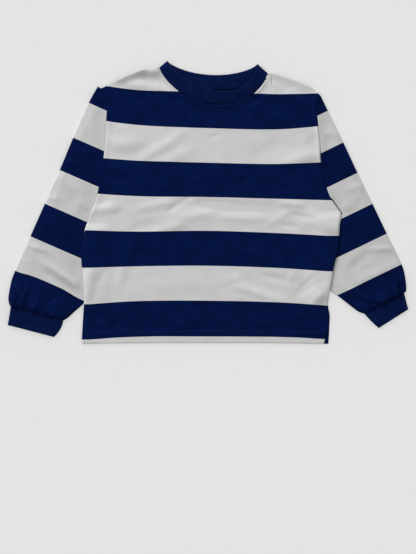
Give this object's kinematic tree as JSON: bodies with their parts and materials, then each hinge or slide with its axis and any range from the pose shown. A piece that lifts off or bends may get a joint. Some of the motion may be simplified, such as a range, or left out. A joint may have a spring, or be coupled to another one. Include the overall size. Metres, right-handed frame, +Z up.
{
  "type": "striped sweatshirt",
  "caption": "Child's crew-neck sweatshirt with broad dark and light stripes, puffed sleeves gathered into ribbed cuffs and side vents, laid flat with its sleeves down.",
  "frame": {"origin": "centre of the laid garment's bounding box, on the surface it lies on", "axes": "+X to the right as seen from above, +Y from the hem towards the neck, +Z up from the surface through the back and then the front"},
  "size_m": [0.6397, 0.4517, 0.009],
  "materials": {
    "jersey_back": "matt brushed-back knit, navy and off-white stripes",
    "jersey_front": "matt brushed-back knit, navy and off-white stripes",
    "jersey_sleeve_left": "matt brushed-back knit, navy and off-white stripes",
    "jersey_sleeve_right": "matt brushed-back knit, navy and off-white stripes",
    "rib_cuffs": "matt ribbed knit, navy",
    "rib_neck": "matt ribbed knit, navy"
  },
  "bodies": {
    "root": {"back": "jersey_back", "front": "jersey_front", "sleeve_left": "jersey_sleeve_left", "sleeve_right": "jersey_sleeve_right", "cuff_left": "rib_cuffs", "cuff_right": "rib_cuffs", "neckband": "rib_neck"}
  },
  "joints": []
}
